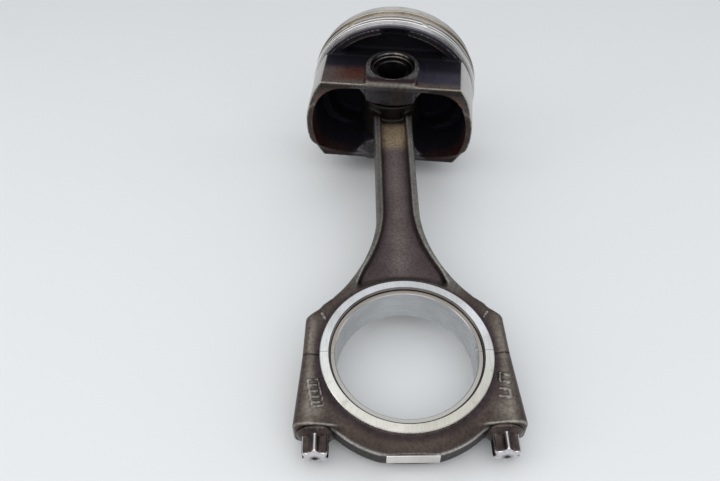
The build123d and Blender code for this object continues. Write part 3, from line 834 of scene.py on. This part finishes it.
def bolt_skin():
    """Black oxide, lightened on the crests of the head by wear with a painted highlight."""
    p = Paint("black oxide")
    cloud, grain = p.noise(160.0, 4.0), p.noise(1200.0, 5.0, 0.7)
    streak = p.lines(700.0, 60.0, 700.0, 4.0)
    tone = p.mix(p.span(cloud, 0.35, 0.7), (0.04, 0.03, 0.028), (0.085, 0.064, 0.056))
    tone = p.mix(p.span(p.attribute("crest"), 0.35, 0.9), tone, (0.62, 0.6, 0.62))
    tone = p.mix(p.span(streak, 0.55, 0.8, 0.0, 0.4), tone, (0.24, 0.21, 0.23))
    tone = p.mix(p.span(grain, 0.55, 0.75, 0.0, 0.5), tone, (0.03, 0.022, 0.02))
    p.bumps((grain, 0.2, 0.0001))
    return p.finish(tone, p.span(grain, 0.3, 0.7, 0.2, 0.34), 0.9)


def piston_skin():
    """Casting: grainy where cast, brushed where turned, duller where its tint is darkest."""
    p = Paint("cast piston alloy")
    turned = p.attribute("turned")
    grain, cloud = p.noise(700.0, 6.0, 0.7), p.noise(80.0, 4.0)
    lines = p.lines(25.0, 2600.0, 25.0)
    tint = p.attribute("tint", "Color")
    tone = worn(p, tint, cloud, grain, 0.5)
    brushed = p.times(p.span(lines, 0.3, 0.7, 0.0, 0.5), tint, (0.72, 0.7, 0.66))
    tone = p.mix(turned, tone, brushed)
    p.bumps((p.sum("MULTIPLY", grain, p.sum("SUBTRACT", 1.0, turned)), 0.35, 0.00025),
            (lines, 0.08, 0.0001), (cloud, 0.15, 0.0004))
    dull_where_dark = p.span(tint, 0.012, 0.05, 0.32, 0.0)
    return p.finish(tone, p.sum("ADD", p.span(grain, 0.3, 0.7, 0.32, 0.5), dull_where_dark), 0.72)


def belt_skin():
    """Ring belt: turned lines with cloudy stains over the painted lands."""
    p = Paint("ring belt")
    cloud, stain = p.noise(60.0, 4.0), p.noise(240.0, 6.0, 0.7)
    lines = p.lines(25.0, 3500.0, 25.0)
    tint = p.attribute("tint", "Color")
    tone = p.times(p.span(cloud, 0.35, 0.7, 0.0, 0.5), tint, (0.64, 0.63, 0.61))
    stained = p.mix(1.0, tint, (0.4, 0.38, 0.37), "MULTIPLY")
    tone = p.mix(p.span(stain, 0.46, 0.66, 0.0, 0.42), tone, stained)
    glossy = p.mix(1.0, tint, (1.5, 1.47, 1.42), "MULTIPLY")
    tone = p.mix(p.span(lines, 0.45, 0.7, 0.0, 0.35), tone, glossy)
    p.bumps((lines, 0.12, 0.0001), (stain, 0.1, 0.0001))
    return p.finish(tone, p.span(stain, 0.3, 0.7, 0.3, 0.5), 0.8)


def floor_paint():
    p = Paint("pale floor")
    cloud, grain = p.noise(3.0, 2.0), p.noise(900.0, 2.0)
    tone = p.mix(cloud, (0.695, 0.71, 0.715), (0.725, 0.735, 0.74))
    p.bumps((grain, 0.02, 0.0001))
    return p.finish(tone, p.span(grain, 0.3, 0.7, 0.6, 0.7), 0.0)


# Scales of the tool lines along X, Y and Z.
turned_z, pad_lines = (30.0, 30.0, 2600.0), (60.0, 900.0, 2200.0)
turned_y, rail_lines, wire_lines = (25.0, 3500.0, 25.0), (25.0, 500.0, 25.0), (60.0, 60.0, 900.0)

forged, ground, lining = forged_skin(), ground_skin(), lining_skin()
oxide, alloy, belt_paint = bolt_skin(), piston_skin(), belt_skin()
milled = machined("milled pad", (0.84, 0.82, 0.79), (0.62, 0.6, 0.57), 0.24, pad_lines)
bronze = machined("bush bronze", (0.62, 0.44, 0.24), (0.45, 0.3, 0.16), 0.3, turned_z)
pin_paint = machined("ground pin", (0.11, 0.105, 0.115), (0.05, 0.046, 0.05), 0.2, turned_z)
bore_paint = machined("oiled bore", (0.085, 0.082, 0.09), (0.04, 0.036, 0.04), 0.24, turned_z)
wire = machined("clip wire", (0.16, 0.15, 0.15), (0.09, 0.085, 0.08), 0.3, wire_lines)
rail_paint = machined("rail steel", (0.92, 0.92, 0.91), (0.8, 0.79, 0.78), 0.36, rail_lines,
                      warm=(0.74, 0.72, 0.69))
chrome = machined("worn first ring", (0.52, 0.48, 0.41), (0.38, 0.35, 0.3), 0.26, turned_y)
iron = machined("phosphated ring", (0.46, 0.43, 0.4), (0.32, 0.3, 0.28), 0.36, turned_y, metal=0.8)


# ---- connecting rod and cap ----
rod_step = 0.5
reach_x = 40.6
for name, node, field, low, high in (
    ("rod forging", "connecting_rod", rod_field, (-reach_x, -0.7, -10.9), (reach_x, rod_high[1] + 0.9, 10.9)),
    ("cap forging", "rod_cap", cap_field, (-reach_x, -37.6, -8.5), (reach_x, 0.7, 8.5)),
):
    verts, quads = net(field, low, high, rod_step)
    marks = surface_marks(field, verts)
    make(name, verts, quads, forged, "rod", [node], {"tint": rod_tint(verts, marks)}, 50.0)

mouth, split_gap, thrust_edge = 0.6, 0.13, 0.3
ring_profile = mirrored([(housing_r + mouth + 0.01, -face_z), (thrust_r - thrust_edge, -face_z),
                         (thrust_r, -face_z + thrust_edge), (thrust_r, -5.9), (29.2, -5.4)])
mouth_profile = mirrored([(housing_r, -7.9), (housing_r + mouth, -face_z)])
face_rows = ("thrust faces", ring_profile, ground), ("bore mouth", mouth_profile, wire)
for half, node, start in (("rod", "connecting_rod", 0), ("cap", "rod_cap", 180)):
    for title, profile, paint in face_rows:
        verts, faces = lathe(fine(profile, 1.2), "z", start + split_gap, start + 180 - split_gap, 160)
        make(f"{title} {half}", verts, faces, paint, "rod", [node], sharp=20)


def balance_pad(x, y, z):
    """Milled pad under the cap, a little off the middle."""
    outline = np.maximum(np.abs(x - 0.7) - 8.9, np.abs(z) - 2.9)
    return rmax(outline, np.maximum(pad_y - y, y - pad_y - 0.8), 0.2)


verts, faces = net(balance_pad, (-8.8, pad_y - 0.4, -3.4), (10.2, pad_y + 1.0, 3.4), 0.3)
make("balance pad", verts, faces, milled, "rod", ["rod_cap"], sharp=40)


# ---- bearing shells and bush ----
lug_angle, lug_fade, lug_in, lug_half, lug_depth = radians(8.6), radians(1.2), 2.4, 1.9, 0.9


def lug_dent(radius, height, angle):
    """Dent in the bore behind the locating lug, at the shells' upper end."""
    turn = (angle + pi) % (2 * pi) - pi
    along = np.clip((lug_half - np.abs(height - shell_half + lug_in)) / 0.4, 0, 1)
    around = np.clip((lug_angle - abs(turn)) / lug_fade, 0, 1)
    in_bore = radius < crank_r + 0.01
    return np.where(in_bore, radius + lug_depth * along * around, radius), height


shell_edge, bush_edge = 0.25, 0.3
shell_profile = mirrored([(crank_r, -shell_half + shell_edge), (crank_r + shell_edge, -shell_half),
                          (housing_r - shell_edge, -shell_half), (housing_r, -shell_half + shell_edge)])
for name, node, start in (("upper shell", "bearing_shell_rod", 0), ("lower shell", "bearing_shell_cap", 180)):
    verts, faces = lathe(fine(shell_profile, 0.8), "z", start + 0.1, start + 179.9, 240, lug_dent)
    make(name, verts, faces, lining, "rod", [node], sharp=25)

bush_bore_r = pin_r + 0.02
bush_profile = mirrored([(bush_bore_r, -bush_half + bush_edge), (bush_bore_r + bush_edge, -bush_half),
                         (bush_r - bush_edge, -bush_half), (bush_r, -bush_half + bush_edge)])
verts, faces = lathe(fine(bush_profile, 1.0), "z", steps=160)
verts += [0, pin_y, 0]
make("small end bush", verts, faces, bronze, "rod", ["small_end_bush"], sharp=25)


# ---- bolts ----
head_r, flute_at, flute_r = 4.75, 6.05, 2.3
shank_r, thread_r, shank_end = 3.6, 3.97, 1.0


def lobes(radius, height, angle):
    """Flutes between six lobes on the head, fading out at the flange and towards the axis."""
    on_head = np.clip((seat_y - 2.0 - height) / 0.5, 0, 1)
    turn = (angle + pi / 6) % (pi / 3) - pi / 6
    across = max(flute_r ** 2 - (flute_at * sin(turn)) ** 2, 0) ** 0.5
    floor_r = flute_at * cos(turn) - across if across > 0 else 9.0
    depth = np.maximum(head_r - floor_r, 0) * np.clip(radius / head_r, 0, 1) ** 3
    return radius - on_head * depth, height


# Radius and height above the head's end, up to the flange; then the flange, shank and thread.
head_profile = [(0.001, 0.62), (0.35, 0.45), (0.7, 0.12), (0.95, 0.0), (3.3, 0.0), (3.75, 0.18),
                (4.25, 0.55), (4.6, 1.0), (head_r, 1.5), (head_r, 3.2), (head_r, 5.0), (head_r, 6.1),
                (4.85, 6.45), (5.1, 6.8), (5.7, 7.25), (6.2, 7.7), (flange_r - 0.06, 8.05), (flange_r, 8.35)]
bolt_profile = [(radius, bolt_end + rise) for radius, rise in head_profile] + [
    (flange_r - 0.08, seat_y - 0.12), (flange_r - 0.25, seat_y), (shank_r, seat_y), (shank_r, shank_end),
    (thread_r, shank_end + 0.4), (thread_r, bolt_tip - 0.8), (3.2, bolt_tip), (0.001, bolt_tip)]


def bolt_crest(p):
    """Lobes and end face of the head, lightened by wear with a painted highlight, 0 to 1."""
    from_axis, around = np.hypot(p[:, 0], p[:, 2]), np.arctan2(-p[:, 2], p[:, 0])
    rise = p[:, 1] - bolt_end
    on_lobe = near(np.mod(around, pi / 3), pi / 6, 0.1) * (from_axis > 4.2) * (rise < 6.5)
    end = (rise < 0.9) * (from_axis > 2.9)
    return np.clip(np.maximum(on_lobe * 0.8, end) + 0.5 * (rise < 0.05) * (from_axis > 0.9), 0, 1)


verts, faces = lathe(bolt_profile, "y", steps=216, shape=lobes, closed=False)
for side, name in ((-1, "left"), (1, "right")):
    make(f"bolt {name}", verts + [side * bolt_x, 0, 0], faces, oxide, "rod", [f"rod_bolt_{name}"],
         {"crest": bolt_crest(verts)}, 38)


# ---- piston ----
piston_step = 0.62
verts, quads = net(piston_field, (-41.2, -19.0, -41.2), (41.2, 26.8, 41.2), piston_step)
marks = surface_marks(piston_field, verts)
on_skirt = soft(np.hypot(verts[:, 0], verts[:, 2]), 39.3, 39.7) * (verts[:, 1] < 7.4)
marks["turned"] = np.clip(on_skirt + (verts[:, 1] > 20.0), 0, 1)
marks = {"turned": marks["turned"], "tint": piston_tint(verts, marks)}
make("piston casting", verts, quads, alloy, "piston", ["piston_body"], marks, 50.0)

groove_edge = 0.12
belt_profile = [(35.2, 10.6), (37.2, 9.9), (38.5, 9.4), (38.8, belt_low), (land_r - 0.35, belt_low),
                (land_r, belt_low + 0.35)]
for low, height in sorted(grooves.values()):
    high = low + height
    belt_profile += [(land_r, low - groove_edge), (land_r - groove_edge, low), (groove_r, low),
                     (groove_r, high), (land_r - groove_edge, high), (land_r, high + groove_edge)]
belt_profile += [(land_r, crown_y - 0.5), (land_r - 0.5, crown_y), (38.3, crown_y),
                 (38.1, crown_y - 0.3), (37.9, crown_y - 3.6), (35.2, crown_y - 4.2)]
verts, faces = lathe(fine(belt_profile, 0.5), "y", steps=300)
make("ring belt", verts, faces, belt_paint, "piston", ["piston_body"],
     {"tint": belt_tint(verts)}, 25)

# Boss bores and clips, as radius and height along the pin.
clip_groove_r, clip_groove_half, sleeve_r, sleeve_face_r = 10.3, 0.58, 11.6, 10.65
bore_r, notch_half, notch_reach, clip_open = pin_r + 0.02, radians(10.0), 1.9, 37.0
sleeve = [(bore_r, boss_in + 0.5), (pin_r + 0.5, boss_in + 0.02), (11.3, boss_in + 0.02),
          (sleeve_r, boss_in + 0.4), (sleeve_r, boss_out - 1.0), (sleeve_face_r, boss_out - 0.6),
          (sleeve_face_r, boss_out - 0.12), (pin_r + 0.85, boss_out - 0.12), (pin_r + 0.35, boss_out - 0.6),
          (pin_r + 0.3, clip_z + 0.6), (clip_groove_r, clip_z + clip_groove_half),
          (clip_groove_r, clip_z - clip_groove_half), (bore_r, clip_z - 0.6)]
clip_mid_r = clip_groove_r - 0.05 - clip_wire
clip_loop = [(clip_mid_r + clip_wire * cos(t), clip_z + clip_wire * sin(t))
             for t in np.arange(12) * 2 * pi / 12]
clip_start = degrees(notch_angle) + clip_open / 2


def clip_notch(radius, height, angle):
    """Widens the mouth of the pin bore where the clip is lifted out."""
    turn = abs((angle - notch_angle + pi) % (2 * pi) - pi)
    reach = np.clip(1 - (turn / notch_half) ** 2, 0, 1) ** 0.5 * notch_reach
    out = (np.abs(height) > clip_z) & (radius < 10.6)
    return np.where(out, np.maximum(radius, pin_r + reach), radius), height


for side, level in ((-1, "lower"), (1, "upper")):
    for title, nodes, paint, slot, sharp, (verts, faces) in (
        ("pin boss bore", "piston_body", bore_paint, "piston_alloy", 25,
         lathe(fine(sleeve, 1.2), "z", steps=220, shape=clip_notch)),
        ("circlip", f"circlip_{level}", wire, "clip_steel", 50,
         lathe(clip_loop, "z", clip_start, clip_start + 360.0 - clip_open, 160)),
    ):
        verts[:, 2] *= side
        faces = faces if side > 0 else [f[::-1] for f in faces]
        make(f"{title} {level}", verts, faces, paint, "piston", [nodes], sharp=sharp)

pin_profile = mirrored([(5.6, -pin_half + 6.0), (7.1, -pin_half + 0.2), (7.4, -pin_half),
                        (pin_r - 0.6, -pin_half), (pin_r - 0.15, -pin_half + 0.2), (pin_r, -pin_half + 0.6)])
verts, faces = lathe(fine(pin_profile, 1.5), "z", steps=200)
make("floating pin", verts, faces, pin_paint, "pin", ["piston_pin"], sharp=25)


# ---- rings ----
side_gap, rail_height, ring_gap = 0.05, 0.5, 4.4


def in_groove(name):
    """Lower and upper side of a ring that fills its groove with a little play."""
    low, height = grooves[name]
    return low + side_gap, low + height - side_gap


def ring(name, node, body, span, width, gap_at, paint, ease):
    """Split ring with eased outer edges; its gap is centred at an angle in degrees."""
    (low, high), inner = span, ring_r - width
    profile = [(inner, low), (ring_r - ease, low), (ring_r, low + ease), (ring_r, high - ease),
               (ring_r - ease, high), (inner, high)]
    verts, faces = lathe(profile, "y", gap_at + ring_gap / 2, gap_at + 360.0 - ring_gap / 2, 300)
    make(name, verts, faces, paint, body, [node], sharp=25)


oil_low, oil_high = in_groove("oil")
low_rail, high_rail = (oil_low, oil_low + rail_height), (oil_high - rail_height, oil_high)
ring("first ring", "top_ring", "ring_top", in_groove("top"), 3.1, 58.0, chrome, 0.14)
ring("second ring", "second_ring", "ring_second", in_groove("second"), 3.3, 238.0, iron, 0.14)
ring("lower rail", "oil_lower_rail", "rail_lower", low_rail, 2.6, 110.0, rail_paint, 0.1)
ring("upper rail", "oil_upper_rail", "rail_upper", high_rail, 2.6, 290.0, rail_paint, 0.1)

spacer_mid = grooves["oil"][0] + grooves["oil"][1] / 2
spacer_out, spacer_in, spacer_half, spacer_squeeze = ring_r - 0.9, ring_r - 3.1, 0.62, 0.55
spacer_waves, wave_height, spacer_at = 18, 0.5, 20.0


def corrugation(radius, height, angle):
    """Alternate waves of the spacer, up against one rail and then the other."""
    wave = 0.5 + 0.5 * np.tanh(3.0 * cos(spacer_waves * angle))
    return radius, spacer_mid + (height - spacer_mid) * spacer_squeeze + (wave - 0.5) * wave_height


spacer = [(spacer_in, spacer_mid - spacer_half), (spacer_out, spacer_mid - spacer_half),
          (spacer_out, spacer_mid + spacer_half), (spacer_in, spacer_mid + spacer_half)]
spacer_start = spacer_at + ring_gap / 2
verts, faces = lathe(spacer, "y", spacer_start, spacer_start + 360.0 - ring_gap, 720, corrugation)
make("corrugated spacer", verts, faces, iron, "expander", ["oil_expander"], sharp=40)


# ---- floor, light and camera ----
floor_slope, floor_half, floor_drop = -0.1647, 2600.0, 0.02
rest_y, rest_z = -30.7, -face_z
corners = [(i * floor_half, j * floor_half) for i, j in ((-1, -1), (1, -1), (1, 1), (-1, 1))]
sheet = bpy.data.meshes.new("floor")
sheet.from_pydata([(x / 1000, y / 1000, (rest_z + floor_slope * (y - rest_y) - floor_drop) / 1000)
                   for x, y in corners], [], [(0, 1, 2, 3)])
sheet.materials.append(floor_paint())
floor = bpy.data.objects.new("floor", sheet)
bpy.context.scene.collection.objects.link(floor)

scene = bpy.context.scene
world = bpy.data.worlds.new("studio")
scene.world = world
world.use_nodes = True
world.node_tree.nodes["Background"].inputs["Color"].default_value = (0.93, 0.96, 1.0, 1)
world.node_tree.nodes["Background"].inputs["Strength"].default_value = 0.55
scene.view_settings.view_transform = "Standard"

lamp_aim = Vector((0, 0.07, 0))
for name, place, width, height, power, color in (
    ("overhead", (-0.1, 0.36, 0.9), 1.6, 1.2, 3.0, (1.0, 1.0, 1.0)),
    ("front", (0.05, -0.5, 0.8), 1.4, 0.8, 5.2, (1.0, 1.0, 1.0)),
    ("left", (-0.7, -0.1, 0.45), 0.4, 0.6, 1.3, (1.0, 0.97, 0.93)),
    ("right", (0.75, 0.1, 0.4), 0.4, 0.6, 0.8, (0.93, 0.96, 1.0)),
):
    lamp = bpy.data.lights.new(name, "AREA")
    lamp.shape, lamp.size, lamp.size_y = "RECTANGLE", width, height
    lamp.energy, lamp.color = power, color
    softbox = bpy.data.objects.new(name, lamp)
    softbox.location = place
    softbox.rotation_euler = (lamp_aim - Vector(place)).to_track_quat("-Z", "Y").to_euler()
    scene.collection.objects.link(softbox)

# Camera: tilt below the horizontal, turn about the vertical and roll about the line of sight.
tilt, pan, roll = 0.8582, 0.003, -0.0123
camera_place = (-0.01556, -0.12788, 0.22081)
camera = bpy.data.cameras.new("camera")
camera.sensor_width, camera.lens = 36.0, 34.67
camera.shift_x, camera.shift_y = 0.0, -0.0125
viewer = bpy.data.objects.new("camera", camera)
turn = Matrix.Rotation(pan, 4, "Z") @ Matrix.Rotation(pi / 2 - tilt, 4, "X") @ Matrix.Rotation(roll, 4, "Z")
viewer.matrix_world = Matrix.Translation(camera_place) @ turn
scene.collection.objects.link(viewer)
scene.camera = viewer
